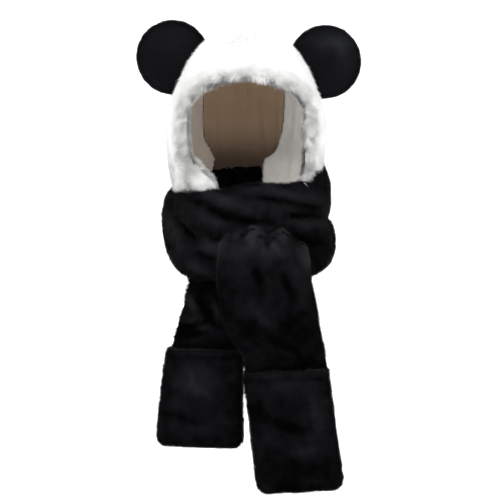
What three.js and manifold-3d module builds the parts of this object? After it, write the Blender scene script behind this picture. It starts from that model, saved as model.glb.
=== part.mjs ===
// A plush hooded scarf with round animal ears, in the form it has when worn.
// Units are millimetres, +Z is up, +Y is the back of the head, +X the viewer's right.
// The origin is where the crown of the head meets the lining.
import * as THREE from 'three';
import { mergeVertices } from 'three/addons/utils/BufferGeometryUtils.js';
import Module from 'manifold-3d';

const wasm = await Module();
wasm.setup();

// Clearance left between neighbouring pieces
const GAP = 0.3;

// The hood: half widths and reaches measured from the middle of the head
const HOOD = {
  halfWidth: 139,
  crown: 168,
  lower: 260,
  front: 123,
  back: 125,
  wall: 16,
};
// How much the hood's shoulders draw in, and the power that makes its crown full from front to back
const HOOD_FORM = { shoulder: 0.05, fullness: 0.85 };

// The lining, and where the seams of its middle panel run down to the nape
// tuck: how far the panel runs down behind the wrap
// drop: shares of the bend's height; left and right: shares of the seam's half width
const LINING = { thick: 3, seamHalfWidth: 78, bend: 67, tuck: 6 };
const SEAMS = [
  { drop: -0.6, left: 0.99, right: 0.87 },
  { drop: 0.0, left: 0.99, right: 0.82 },
  { drop: 0.22, left: 0.97, right: 0.78 },
  { drop: 0.42, left: 0.88, right: 0.73 },
  { drop: 0.6, left: 0.79, right: 0.66 },
  { drop: 0.78, left: 0.72, right: 0.42 },
  { drop: 1.0, left: 0.76, right: 0.38 },
];

// The face opening: its arch, its straight sides and the padded roll along its edge
const FACE = {
  halfWidth: 100,
  arch: 60,
  side: 130,
  brow: 92,
  roll: 17,
  rollDepth: 15,
  rollBeside: 0.85,
  rollDeep: 1.15,
  flattest: 0.02,
  cutDepth: 0.1,
};
// How far each side of the opening stands from the middle, as shares of the half width
const FACE_SIDES = [
  { drop: 0.0, left: 1.0, right: 1.0 },
  { drop: 0.45, left: 0.97, right: 1.0 },
  { drop: 0.64, left: 0.9, right: 0.99 },
  { drop: 0.84, left: 0.64, right: 0.95 },
  { drop: 0.93, left: 0.51, right: 0.9 },
  { drop: 1.3, left: 0.45, right: 0.88 },
];

// Round padded ears, sewn to the sides of the crown
// size: share of the diameter; side: share of the hood's half width; rise: share of its crown
const EAR = { diameter: 131, thick: 34, forward: 14, rimPower: 0.62, facePower: 0.8 };
const EARS = [
  { name: 'ear_left', size: 1.0, side: -0.907, rise: 0.694, turn: 8 },
  { name: 'ear_right', size: 0.984, side: 0.979, rise: 0.647, turn: -8 },
];

// The scarf where it is wound round the neck
const WRAP = { halfWidth: 143, halfDepth: 126, top: -217, band: 100, layer: 34, back: 4 };

// How far the hood's hem lies under the wrap's top, as shares of the band
const HEM = { nape: 0.33, chin: 0.58 };

// turn: degrees round the neck from the nape by way of the right side
// reach: share of the half width and depth; mid and tall: shares of the band; thick: of a layer
const UPPER_BAND = [
  { turn: 0.3, reach: 1.0, mid: -0.44, tall: 1.0, thick: 1.1, lean: 0 },
  { turn: 45, reach: 1.0, mid: -0.47, tall: 1.0, thick: 1.05, lean: 0 },
  { turn: 85, reach: 1.03, mid: -0.5, tall: 1.05, thick: 1.05, lean: 0 },
  { turn: 115, reach: 1.04, mid: -0.54, tall: 1.04, thick: 1.1, lean: -4 },
  { turn: 137, reach: 1.04, mid: -0.78, tall: 0.97, thick: 1.1, lean: -6 },
  { turn: 155, reach: 1.04, mid: -0.83, tall: 0.97, thick: 1.1, lean: -6 },
  { turn: 180, reach: 1.05, mid: -0.82, tall: 0.95, thick: 1.15, lean: -6 },
  { turn: 205, reach: 1.05, mid: -0.9, tall: 0.86, thick: 1.15, lean: -6 },
  { turn: 230, reach: 1.02, mid: -0.72, tall: 0.55, thick: 1.1, lean: -10 },
  { turn: 255, reach: 0.88, mid: -0.68, tall: 0.5, thick: 0.9, lean: 0 },
  { turn: 300, reach: 0.8, mid: -0.8, tall: 0.8, thick: 0.8, lean: 0 },
  { turn: 330, reach: 0.84, mid: -0.95, tall: 0.9, thick: 0.8, lean: 0 },
];
const LOWER_BAND = [
  { turn: 305, reach: 0.8, mid: -0.95, tall: 0.8, thick: 0.8, lean: 0 },
  { turn: 360, reach: 1.08, mid: -1.1, tall: 0.95, thick: 0.9, lean: 4 },
  { turn: 405, reach: 1.09, mid: -1.22, tall: 0.92, thick: 1.0, lean: 4 },
  { turn: 450, reach: 1.09, mid: -1.34, tall: 0.82, thick: 1.2, lean: 0 },
  { turn: 480, reach: 1.08, mid: -1.47, tall: 0.9, thick: 1.2, lean: 0 },
  { turn: 500, reach: 1.03, mid: -1.57, tall: 0.95, thick: 1.1, lean: 0 },
  { turn: 520, reach: 0.9, mid: -1.6, tall: 0.95, thick: 1.0, lean: 0 },
  { turn: 545, reach: 0.68, mid: -1.65, tall: 0.95, thick: 0.8, lean: 0 },
  { turn: 565, reach: 0.66, mid: -1.72, tall: 0.9, thick: 0.8, lean: 0 },
];
const LEFT_BAND = [
  { turn: -0.3, reach: 1.0, mid: -0.44, tall: 1.0, thick: 1.1, lean: 0 },
  { turn: -45, reach: 1.0, mid: -0.64, tall: 1.2, thick: 1.05, lean: 0 },
  { turn: -90, reach: 1.02, mid: -1.02, tall: 1.15, thick: 1.15, lean: 2 },
  { turn: -118, reach: 1.02, mid: -1.19, tall: 1.36, thick: 1.2, lean: 0 },
  { turn: -138, reach: 1.0, mid: -1.38, tall: 1.26, thick: 1.15, lean: 0 },
  { turn: -155, reach: 0.97, mid: -1.45, tall: 1.1, thick: 1.1, lean: 0 },
  { turn: -180, reach: 0.92, mid: -1.5, tall: 0.95, thick: 1.0, lean: 0 },
];

// Where the hood hangs inside the wrap: beyond this share of its half width on the right,
// and down to this share of the band under the wrap's top
const TUCK = { from: 0.2, foot: 0.34 };

// The two hanging tails and the pockets that close their ends
const TAIL = { width: 142, thick: 13, corner: 17 };
const POCKET = { depth: 12, panel: 12, seam: 13, floor: 13 };
// top: shares of the band under the wrap's top; middle: share of the wrap's half depth
// drop: share of the tail's length; side and wide: shares of its width
// forward and thick: shares of its thickness; tilt: degrees by which its foot is turned
const RIGHT_TAIL = {
  top: 1.05,
  length: 444,
  middle: -0.97,
  pocket: 201,
  tilt: 3,
  rows: [
    { drop: 0.0, side: 0.06, wide: 0.32, forward: -1.4, thick: 2.0 },
    { drop: 0.03, side: 0.14, wide: 0.72, forward: 0.3, thick: 3.5 },
    { drop: 0.065, side: 0.18, wide: 0.97, forward: 1.1, thick: 4.4 },
    { drop: 0.12, side: 0.2, wide: 1.07, forward: 1.3, thick: 4.5 },
    { drop: 0.21, side: 0.206, wide: 1.14, forward: 1.2, thick: 3.8 },
    { drop: 0.34, side: 0.294, wide: 1.165, forward: 1.0, thick: 2.5 },
    { drop: 0.4, side: 0.325, wide: 1.155, forward: 0.8, thick: 2.1 },
    { drop: 0.48, side: 0.443, wide: 1.013, forward: 0.4, thick: 1.4 },
    { drop: 0.54, side: 0.464, wide: 1.035, forward: 0.0, thick: 1.0 },
    { drop: 0.72, side: 0.533, wide: 1.023, forward: 0.0, thick: 1.0 },
    { drop: 0.93, side: 0.617, wide: 1.04, forward: 0.0, thick: 1.0 },
    { drop: 1.0, side: 0.641, wide: 1.028, forward: 0.0, thick: 1.0 },
  ],
};
const LEFT_TAIL = {
  top: 1.68,
  length: 310,
  middle: -0.665,
  pocket: 164,
  tilt: -1.5,
  rows: [
    { drop: 0.0, side: -0.2, wide: 0.7, forward: -1.9, thick: 1.3 },
    { drop: 0.1, side: -0.295, wide: 0.82, forward: -1.7, thick: 1.3 },
    { drop: 0.2, side: -0.345, wide: 0.83, forward: -0.6, thick: 1.3 },
    { drop: 0.3, side: -0.395, wide: 0.84, forward: 0.0, thick: 1.2 },
    { drop: 0.44, side: -0.467, wide: 0.863, forward: 0.0, thick: 1.1 },
    { drop: 0.48, side: -0.489, wide: 0.923, forward: 0.0, thick: 1.0 },
    { drop: 0.95, side: -0.546, wide: 1.05, forward: 0.0, thick: 1.0 },
    { drop: 1.0, side: -0.548, wide: 1.046, forward: 0.0, thick: 1.0 },
  ],
};

// How finely the surfaces are divided
const FINE = {
  around: 32,
  down: 20,
  section: 12,
  tailSection: 12,
  step: 12,
  tailStep: 20,
  roll: 8,
  ear: 20,
  arch: 16,
  openingSide: 10,
  cornerTurns: [0, 30, 52, 70, 84],
};
// How square the padded sections are: 2 is an ellipse, and more is squarer
const SQUARE = { band: 2.4, tail: 3.2, pouch: 3.6, roll: 2 };

// Colours, roughness and sheen as they look in the object
const MATERIALS = {
  white: new THREE.MeshStandardMaterial({ color: 0xf4f3f1, roughness: 0.95 }),
  black: new THREE.MeshStandardMaterial({ color: 0x17171a, roughness: 0.9 }),
  tan: new THREE.MeshStandardMaterial({ color: 0x8a7561, roughness: 0.95 }),
  pale: new THREE.MeshStandardMaterial({ color: 0xcdc8c2, roughness: 0.95 }),
};

// Height of the middle of the head, so that the lined crown is at the origin
const HEAD_MIDDLE = -(HOOD.crown - HOOD.wall - GAP - LINING.thick);

// A closed geometry as a solid
function solid(geometry) {
  const bare = geometry.clone();
  bare.deleteAttribute('normal');
  bare.deleteAttribute('uv');
  const merged = mergeVertices(bare, 1e-4);
  const mesh = new wasm.Mesh({
    numProp: 3,
    vertProperties: new Float32Array(merged.attributes.position.array),
    triVerts: new Uint32Array(merged.index.array),
  });
  return new wasm.Manifold(mesh);
}

// A mesh from a solid: its largest body, without the crumbs of a cut
function meshOf(name, body, material) {
  const bodies = body.decompose();
  let largest = bodies[0];
  for (const one of bodies) {
    if (one.volume() > largest.volume()) largest = one;
  }
  const cut = largest.getMesh();
  const geometry = new THREE.BufferGeometry();
  geometry.setAttribute('position', new THREE.BufferAttribute(new Float32Array(cut.vertProperties), 3));
  geometry.setIndex(new THREE.BufferAttribute(new Uint32Array(cut.triVerts), 1));
  geometry.computeVertexNormals();
  const mesh = new THREE.Mesh(geometry, material);
  mesh.name = name;
  return mesh;
}

// One column of a table at a place along it, on a smooth curve through its rows
function along(rows, key, place, column) {
  const last = rows.length - 1;
  const up = rows[last][key] > rows[0][key];
  let k = 0;
  while (k < last - 1 && (up ? place > rows[k + 1][key] : place < rows[k + 1][key])) k += 1;
  const at = (i) => rows[Math.min(Math.max(i, 0), last)];
  const span = at(k + 1)[key] - at(k)[key];
  const t = Math.min(Math.max((place - at(k)[key]) / span, 0), 1);
  const slope = (i) => {
    const run = at(i + 1)[key] - at(i - 1)[key];
    return run === 0 ? 0 : (at(i + 1)[column] - at(i - 1)[column]) / run;
  };
  const a = at(k)[column];
  const b = at(k + 1)[column];
  const t2 = t * t;
  const t3 = t2 * t;
  return a * (2 * t3 - 3 * t2 + 1) + b * (3 * t2 - 2 * t3)
    + span * (slope(k) * (t3 - 2 * t2 + t) + slope(k + 1) * (t3 - t2));
}

// A closed skin through rings of points, with a point at each end
function skin(rings, first, last) {
  const points = [];
  const faces = [];
  const sides = rings[0].length;
  for (const ring of rings) {
    for (const p of ring) points.push(p.x, p.y, p.z);
  }
  const start = points.length / 3;
  points.push(first.x, first.y, first.z, last.x, last.y, last.z);
  for (let r = 0; r + 1 < rings.length; r += 1) {
    for (let s = 0; s < sides; s += 1) {
      const a = r * sides + s;
      const b = r * sides + ((s + 1) % sides);
      faces.push(a, b, b + sides, a, b + sides, a + sides);
    }
  }
  const end = (rings.length - 1) * sides;
  for (let s = 0; s < sides; s += 1) {
    faces.push(start, (s + 1) % sides, s);
    faces.push(start + 1, end + s, end + ((s + 1) % sides));
  }
  const geometry = new THREE.BufferGeometry();
  geometry.setAttribute('position', new THREE.BufferAttribute(new Float32Array(points), 3));
  geometry.setIndex(faces);
  if (volumeOf(geometry) < 0) {
    for (let i = 0; i < faces.length; i += 3) faces.splice(i, 3, faces[i], faces[i + 2], faces[i + 1]);
    geometry.setIndex(faces);
  }
  return geometry;
}

// Signed volume of a closed geometry, which is negative where its faces point inwards
function volumeOf(geometry) {
  const p = geometry.attributes.position;
  const index = geometry.index.array;
  const corner = [new THREE.Vector3(), new THREE.Vector3(), new THREE.Vector3()];
  let sum = 0;
  for (let i = 0; i < index.length; i += 3) {
    for (let k = 0; k < 3; k += 1) corner[k].fromBufferAttribute(p, index[i + k]);
    sum += corner[0].dot(corner[1].cross(corner[2]));
  }
  return sum / 6;
}

// A padded strip: a rounded section carried through stations
// Each station has a centre, the directions across and out, and its half sizes
function strip(stations, sides, square, grow) {
  const rings = stations.map((s) => {
    const ring = [];
    for (let k = 0; k < sides; k += 1) {
      const angle = (2 * Math.PI * (k + 0.5)) / sides;
      const c = Math.cos(angle);
      const w = Math.sin(angle);
      const across = Math.sign(c) * Math.abs(c) ** (2 / square) * (s.halfAcross + grow);
      const out = Math.sign(w) * Math.abs(w) ** (2 / square) * (s.halfOut + grow);
      ring.push(s.centre.clone().addScaledVector(s.across, across).addScaledVector(s.out, out));
    }
    return ring;
  });
  const ends = [stations[0], stations[stations.length - 1]];
  const inner = [stations[1], stations[stations.length - 2]];
  const tips = ends.map((s, i) => {
    const away = s.centre.clone().sub(inner[i].centre).normalize();
    return s.centre.clone().addScaledVector(away, s.cap + grow);
  });
  return skin(rings, tips[0], tips[1]);
}

// A stretch of the scarf that winds round the neck
function band(rows, grow) {
  const from = rows[0].turn;
  const to = rows[rows.length - 1].turn;
  const count = Math.ceil(Math.abs(to - from) / FINE.step);
  const stations = [];
  for (let i = 0; i <= count; i += 1) {
    const turn = from + ((to - from) * i) / count;
    const value = (column) => along(rows, 'turn', turn, column);
    const angle = THREE.MathUtils.degToRad(turn);
    const lean = THREE.MathUtils.degToRad(value('lean'));
    const outward = new THREE.Vector3(Math.sin(angle), Math.cos(angle), 0);
    const halfOut = (value('thick') * WRAP.layer) / 2;
    const reach = value('reach');
    const centre = new THREE.Vector3(
      outward.x * (WRAP.halfWidth * reach - halfOut),
      WRAP.back + outward.y * (WRAP.halfDepth * reach - halfOut),
      WRAP.top + value('mid') * WRAP.band,
    );
    const up = new THREE.Vector3(0, 0, 1);
    stations.push({
      centre,
      across: up.clone().multiplyScalar(Math.cos(lean)).addScaledVector(outward, Math.sin(lean)),
      out: outward.clone().multiplyScalar(Math.cos(lean)).addScaledVector(up, -Math.sin(lean)),
      halfAcross: (value('tall') * WRAP.band) / 2,
      halfOut,
      cap: 0,
    });
  }
  return solid(strip(stations, FINE.section, SQUARE.band, grow));
}

// Heights of a tail, the place of its hanging cloth and the front face of that cloth
function tailFrame(tail) {
  const top = WRAP.top - tail.top * WRAP.band;
  const bottom = top - tail.length;
  const middle = tail.middle * WRAP.halfDepth;
  return { top, bottom, middle, pocketTop: bottom + tail.pocket, face: middle - TAIL.thick / 2 };
}

// Where a tail is at a height: its middle, half width, and the place and half depth of its cloth
function tailAt(tail, z) {
  const at = tailFrame(tail);
  const drop = (at.top - z) / tail.length;
  const value = (column) => along(tail.rows, 'drop', drop, column);
  const turned = THREE.MathUtils.smoothstep(at.pocketTop + tail.pocket - z, 0, tail.pocket);
  const tilt = THREE.MathUtils.degToRad(tail.tilt * turned);
  return {
    x: value('side') * TAIL.width,
    half: (value('wide') * TAIL.width) / 2,
    y: at.middle - value('forward') * TAIL.thick,
    halfOut: (value('thick') * TAIL.thick) / 2,
    across: new THREE.Vector3(Math.cos(tilt), 0, Math.sin(tilt)),
  };
}

// Heights from one level to another, closer together in the rounded corners at the foot
function levels(top, bottom, corner) {
  const list = [];
  const straight = top - bottom - corner;
  const count = Math.ceil(straight / FINE.tailStep);
  for (let i = 0; i < count; i += 1) list.push(top - (straight * i) / count);
  for (const turn of FINE.cornerTurns) {
    list.push(bottom + corner * (1 - Math.sin(THREE.MathUtils.degToRad(turn))));
  }
  return list;
}

// How much narrower the rounded corners make a tail at a height
function cornerInset(z, bottom, corner) {
  const into = Math.max(bottom + corner - z, 0);
  return corner - Math.sqrt(Math.max(corner * corner - into * into, 0));
}

// A tail's hanging cloth, from the wrap down to its foot
function tailCloth(tail, grow) {
  const { top, bottom } = tailFrame(tail);
  const stations = levels(top, bottom, TAIL.corner).map((z) => {
    const at = tailAt(tail, z);
    const inset = cornerInset(z, bottom, TAIL.corner);
    return {
      centre: new THREE.Vector3(at.x, at.y, z),
      across: at.across,
      out: new THREE.Vector3(0, 1, 0),
      halfAcross: at.half - inset,
      halfOut: at.halfOut * (1 - (0.5 * inset) / TAIL.corner),
      cap: 0,
    };
  });
  return solid(strip(stations, FINE.tailSection, SQUARE.tail, grow));
}

// The padded block at a tail's end, which holds the pocket; inset makes the hollow in it
function pouch(tail, inset, rise, grow) {
  const frame = tailFrame(tail);
  const depth = TAIL.thick + POCKET.depth + POCKET.panel;
  const corner = TAIL.corner;
  const bottom = frame.bottom + inset;
  const stations = levels(frame.pocketTop + rise, bottom, corner).map((z) => {
    const at = tailAt(tail, z);
    const cut = cornerInset(z, bottom, corner);
    return {
      centre: new THREE.Vector3(at.x, frame.middle + TAIL.thick / 2 - depth / 2, z),
      across: at.across,
      out: new THREE.Vector3(0, 1, 0),
      halfAcross: at.half - inset - cut,
      halfOut: (depth / 2) * (1 - (0.35 * cut) / corner),
      cap: 0,
    };
  });
  return solid(strip(stations, FINE.tailSection, SQUARE.pouch, grow));
}

// A box between two corners
function slab(low, high) {
  const size = high.map((v, i) => v - low[i]);
  const box = new THREE.BoxGeometry(...size);
  box.translate(...low.map((v, i) => v + size[i] / 2));
  return solid(box);
}

// Far enough to pass the whole object
const FAR = 2000;

// A tail's pocket, the wall behind it and the room that both take
function pocketOf(tail) {
  const { face } = tailFrame(tail);
  const front = slab([-FAR, -FAR, -FAR], [FAR, face - GAP, FAR]);
  const back = slab([-FAR, face, -FAR], [FAR, FAR, FAR]);
  const room = slab([-FAR, face - POCKET.depth, -FAR], [FAR, FAR, FAR]);
  const block = pouch(tail, 0, 0, 0);
  const whole = pouch(tail, 0, 0, GAP);
  const hollow = pouch(tail, POCKET.seam, POCKET.floor, 0).intersect(room);
  return {
    pocket: block.intersect(front).subtract(hollow),
    backWall: block.intersect(back),
    room: whole.subtract(back),
    whole,
  };
}

// Shares of the hood's half width and depth at an angle down from its crown
function headShares(polar) {
  const out = Math.sin(polar);
  const up = Math.cos(polar);
  if (up <= 0) return { wide: out, deep: out };
  return { wide: out * (1 - HOOD_FORM.shoulder * Math.sin(Math.PI * up)), deep: out ** HOOD_FORM.fullness };
}

// The closed form of the hood, at a distance inside its outer face
function headForm(inset) {
  const rings = [];
  const radius = (x, y, z) => new THREE.Vector3(
    x * (HOOD.halfWidth - inset),
    y * ((y < 0 ? HOOD.front : HOOD.back) - inset),
    HEAD_MIDDLE + z * ((z > 0 ? HOOD.crown : HOOD.lower) - inset),
  );
  for (let j = 1; j < FINE.down; j += 1) {
    const polar = (Math.PI * j) / FINE.down;
    const ring = [];
    const { wide, deep } = headShares(polar);
    for (let i = 0; i < FINE.around; i += 1) {
      const turn = (2 * Math.PI * i) / FINE.around;
      ring.push(radius(wide * Math.sin(turn), deep * Math.cos(turn), Math.cos(polar)));
    }
    rings.push(ring);
  }
  return solid(skin(rings, radius(0, 0, 1), radius(0, 0, -1)));
}

// Where the hood's face is at a place seen from the front
function faceDepth(x, z, inset) {
  const reach = z > HEAD_MIDDLE ? HOOD.crown : HOOD.lower;
  const up = (z - HEAD_MIDDLE) / (reach - inset);
  const { wide, deep } = headShares(Math.acos(up));
  const across = x / ((HOOD.halfWidth - inset) * wide);
  return -(HOOD.front - inset) * deep * Math.sqrt(Math.max(1 - across * across, FACE.flattest));
}

// Outline of the face opening seen from the front, from its left foot over the arch to its right
function faceOutline(offset) {
  const outer = HEAD_MIDDLE + HOOD.crown;
  const spring = outer - FACE.brow - FACE.arch;
  const points = [];
  const foot = FACE_SIDES[FACE_SIDES.length - 1].drop;
  const side = (name, sign) => {
    const list = [];
    for (let i = 1; i <= FINE.openingSide; i += 1) {
      const drop = (foot * i) / FINE.openingSide;
      const share = along(FACE_SIDES, 'drop', drop, name);
      list.push(new THREE.Vector2(sign * (share * FACE.halfWidth + offset), spring - drop * FACE.side));
    }
    return list;
  };
  points.push(...side('left', -1).reverse());
  for (let i = 0; i <= FINE.arch; i += 1) {
    const angle = Math.PI * (1 - i / FINE.arch);
    points.push(new THREE.Vector2(
      (FACE.halfWidth + offset) * Math.cos(angle),
      spring + (FACE.arch + offset) * Math.sin(angle),
    ));
  }
  points.push(...side('right', 1));
  return points;
}

// A prism along Y through an outline drawn in X and Z
function prism(outline, nearY, farY) {
  const shape = new THREE.Shape(outline);
  const geometry = new THREE.ExtrudeGeometry(shape, { depth: farY - nearY, bevelEnabled: false });
  geometry.rotateX(Math.PI / 2);
  geometry.translate(0, farY, 0);
  return solid(geometry);
}

// The padded roll along the edge of the face opening
function faceRoll(grow) {
  const outline = faceOutline(FACE.roll * FACE.rollBeside);
  const path = outline.map((p) => new THREE.Vector3(p.x, faceDepth(p.x, p.y, FACE.rollDepth), p.y));
  const stations = path.map((centre, i) => {
    const before = path[Math.max(i - 1, 0)];
    const after = path[Math.min(i + 1, path.length - 1)];
    const forward = after.clone().sub(before).normalize();
    const out = new THREE.Vector3(0, 1, 0).addScaledVector(forward, -forward.y).normalize();
    return {
      centre,
      across: new THREE.Vector3().crossVectors(forward, out).normalize(),
      out,
      halfAcross: FACE.roll,
      halfOut: FACE.roll * FACE.rollDeep,
      cap: 0,
    };
  });
  return solid(strip(stations, FINE.roll, SQUARE.roll, grow));
}

// Everything below the hood's hem, whose plane slopes from the nape to the chin
function belowHem(raise) {
  const slope = ((HEM.chin - HEM.nape) * WRAP.band) / (HOOD.front + HOOD.back);
  const middle = WRAP.top - ((HEM.nape + HEM.chin) * WRAP.band) / 2 + raise;
  const outline = [
    new THREE.Vector2(-FAR, middle - slope * FAR),
    new THREE.Vector2(FAR, middle + slope * FAR),
    new THREE.Vector2(FAR, middle - 2 * FAR),
    new THREE.Vector2(-FAR, middle - 2 * FAR),
  ];
  const shape = new THREE.Shape(outline);
  const geometry = new THREE.ExtrudeGeometry(shape, { depth: 2 * FAR, bevelEnabled: false });
  geometry.rotateX(Math.PI / 2);
  geometry.rotateZ(Math.PI / 2);
  geometry.translate(-FAR, 0, 0);
  return solid(geometry);
}

// The middle panel of the lining seen from the front: it draws in towards the nape
function seamOutline(grow) {
  const top = WRAP.top + LINING.bend;
  const side = (name, sign) => SEAMS.map((row) => new THREE.Vector2(
    sign * (row[name] * LINING.seamHalfWidth + grow),
    top - row.drop * LINING.bend,
  ));
  const left = side('left', -1);
  const right = side('right', 1);
  const last = SEAMS.length - 1;
  return [
    new THREE.Vector2(left[0].x, FAR),
    ...left,
    new THREE.Vector2(left[last].x, -FAR),
    new THREE.Vector2(right[last].x, -FAR),
    ...right.reverse(),
    new THREE.Vector2(right[last].x, FAR),
  ];
}

// A padded round ear, before the hood is cut out of it
function earDisc(ear) {
  const rings = [];
  const radius = (ear.size * EAR.diameter) / 2;
  for (let j = 1; j < FINE.ear / 2; j += 1) {
    const polar = (2 * Math.PI * j) / FINE.ear;
    const ring = [];
    const flat = Math.sign(Math.cos(polar)) * Math.abs(Math.cos(polar)) ** EAR.facePower;
    const out = Math.sin(polar) ** EAR.rimPower;
    for (let i = 0; i < FINE.ear; i += 1) {
      const turn = (2 * Math.PI * i) / FINE.ear;
      ring.push(new THREE.Vector3(
        radius * out * Math.cos(turn),
        (-flat * EAR.thick) / 2,
        radius * out * Math.sin(turn),
      ));
    }
    rings.push(ring);
  }
  const end = new THREE.Vector3(0, EAR.thick / 2, 0);
  const geometry = skin(rings, end.clone().negate(), end);
  geometry.rotateZ(THREE.MathUtils.degToRad(ear.turn));
  geometry.translate(ear.side * HOOD.halfWidth, -EAR.forward, HEAD_MIDDLE + ear.rise * HOOD.crown);
  return solid(geometry);
}

// The scarf
const rightPocket = pocketOf(RIGHT_TAIL);
const leftPocket = pocketOf(LEFT_TAIL);

function leftArm(grow) {
  return band(LEFT_BAND, grow).add(tailCloth(RIGHT_TAIL, grow));
}

// The part of the right side in which the wrap goes round the outside of the hood
function insideWrap(grow) {
  const from = TUCK.from * HOOD.halfWidth;
  const foot = WRAP.top - TUCK.foot * WRAP.band;
  return slab([from - grow, -FAR, foot - grow], [FAR, FAR, FAR]);
}

function rightArm() {
  return band(UPPER_BAND, 0).add(band(LOWER_BAND, 0)).add(tailCloth(LEFT_TAIL, 0));
}

const scarfLeftArm = leftArm(0)
  .subtract(rightPocket.room)
  .add(rightPocket.backWall)
  .subtract(leftPocket.whole);
const leftArmSpace = leftArm(GAP).add(rightPocket.whole);
const hoodSpace = headForm(-GAP).add(faceRoll(GAP));
const scarfRightArm = rightArm()
  .subtract(insideWrap(GAP).intersect(hoodSpace))
  .subtract(leftPocket.room)
  .add(leftPocket.backWall)
  .subtract(leftArmSpace);

// The hood is trimmed where it stands on the scarf, except on the right, where it hangs inside it
const scarfSpace = leftArm(GAP)
  .add(band(UPPER_BAND, GAP))
  .add(band(LOWER_BAND, GAP))
  .subtract(insideWrap(0));
const opening = prism(faceOutline(0), -FAR, HOOD.back * FACE.cutDepth);
const hood = headForm(0)
  .subtract(headForm(HOOD.wall))
  .subtract(opening)
  .add(faceRoll(0))
  .subtract(belowHem(0))
  .subtract(scarfSpace);

const lining = headForm(HOOD.wall + GAP)
  .subtract(headForm(HOOD.wall + GAP + LINING.thick))
  .subtract(opening)
  .subtract(faceRoll(GAP))
  .subtract(belowHem(4))
  .subtract(scarfSpace);
const belowNape = slab([-FAR, -FAR, -FAR], [FAR, FAR, WRAP.top - LINING.tuck]);
const backLining = lining.intersect(prism(seamOutline(0), -FAR, FAR)).subtract(belowNape);
const cheeks = lining.subtract(prism(seamOutline(GAP), -FAR, FAR));
const leftSide = slab([-FAR, -FAR, -FAR], [0, FAR, FAR]);

const part = new THREE.Group();
part.add(meshOf('hood_shell', hood, MATERIALS.white));
part.add(meshOf('back_lining', backLining, MATERIALS.tan));
part.add(meshOf('cheek_lining_left', cheeks.intersect(leftSide), MATERIALS.pale));
part.add(meshOf('cheek_lining_right', cheeks.subtract(leftSide), MATERIALS.pale));
for (const ear of EARS) {
  part.add(meshOf(ear.name, earDisc(ear).subtract(headForm(-GAP)), MATERIALS.black));
}
part.add(meshOf('scarf_left_arm', scarfLeftArm, MATERIALS.black));
part.add(meshOf('scarf_right_arm', scarfRightArm, MATERIALS.black));
part.add(meshOf('pocket_left', leftPocket.pocket, MATERIALS.black));
part.add(meshOf('pocket_right', rightPocket.pocket, MATERIALS.black));

export default part;
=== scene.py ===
"""Covers a hooded scarf's solids in plush, lines its hood and sets it before a pale sweep."""

import math

import bpy
import numpy as np
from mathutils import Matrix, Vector
from mathutils.bvhtree import BVHTree


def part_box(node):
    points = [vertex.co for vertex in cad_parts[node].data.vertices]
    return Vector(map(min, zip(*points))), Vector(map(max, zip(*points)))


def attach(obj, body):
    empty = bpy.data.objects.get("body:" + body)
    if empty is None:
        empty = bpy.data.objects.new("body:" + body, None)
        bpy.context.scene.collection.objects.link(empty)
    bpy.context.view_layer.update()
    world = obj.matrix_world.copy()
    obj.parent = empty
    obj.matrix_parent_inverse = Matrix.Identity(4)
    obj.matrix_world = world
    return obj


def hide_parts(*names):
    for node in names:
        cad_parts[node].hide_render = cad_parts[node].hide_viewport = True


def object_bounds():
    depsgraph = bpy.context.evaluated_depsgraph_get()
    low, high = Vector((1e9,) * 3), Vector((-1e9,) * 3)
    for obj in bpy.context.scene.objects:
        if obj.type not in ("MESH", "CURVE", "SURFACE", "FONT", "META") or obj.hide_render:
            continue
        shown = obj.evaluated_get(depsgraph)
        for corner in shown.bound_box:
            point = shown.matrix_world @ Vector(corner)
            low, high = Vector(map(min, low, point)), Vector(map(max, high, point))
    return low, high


bl_info = {
    "name": "Plush hooded scarf",
    "version": (1, 0, 0),
    "blender": (4, 5, 0),
    "location": "View3D > Sidebar > Hooded scarf",
    "description": "Covers the solids of a hooded scarf in plush pile and lines its hood",
    "category": "Object",
}

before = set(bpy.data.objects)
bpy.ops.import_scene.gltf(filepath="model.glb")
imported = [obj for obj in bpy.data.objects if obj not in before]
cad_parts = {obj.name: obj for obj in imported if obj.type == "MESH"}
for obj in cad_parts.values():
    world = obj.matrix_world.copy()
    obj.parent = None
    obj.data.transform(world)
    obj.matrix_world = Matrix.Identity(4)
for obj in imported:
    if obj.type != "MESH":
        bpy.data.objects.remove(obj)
CAD_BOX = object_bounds()

# Middle of the head, and the face opening's arch, as in the solid model
HEAD_MIDDLE = np.array([0.0, 0.0, -0.1487])
ARCH = {"foot": -0.1327, "half_width": 0.1, "height": 0.06}

# The arch's edge, as the pile sees it: how far it fades, as a share of the arch, and how far
# forward it begins and is whole, in Y
ARCH_EDGE = {"fade": 0.25, "begins": -0.045, "whole": -0.065}

# The hood's nap falls away from a point over the front of its crown
CROWN_WHORL = np.array([0.0, -0.075, 0.07])

# A backing isn't sunk where another piece touches it: near and far are distances between the
# two, and overlap is how far the scarf then reaches past the middle of the gap
CONTACT = {"near": 0.0018, "far": 0.0045, "overlap": 0.0005}

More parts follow.
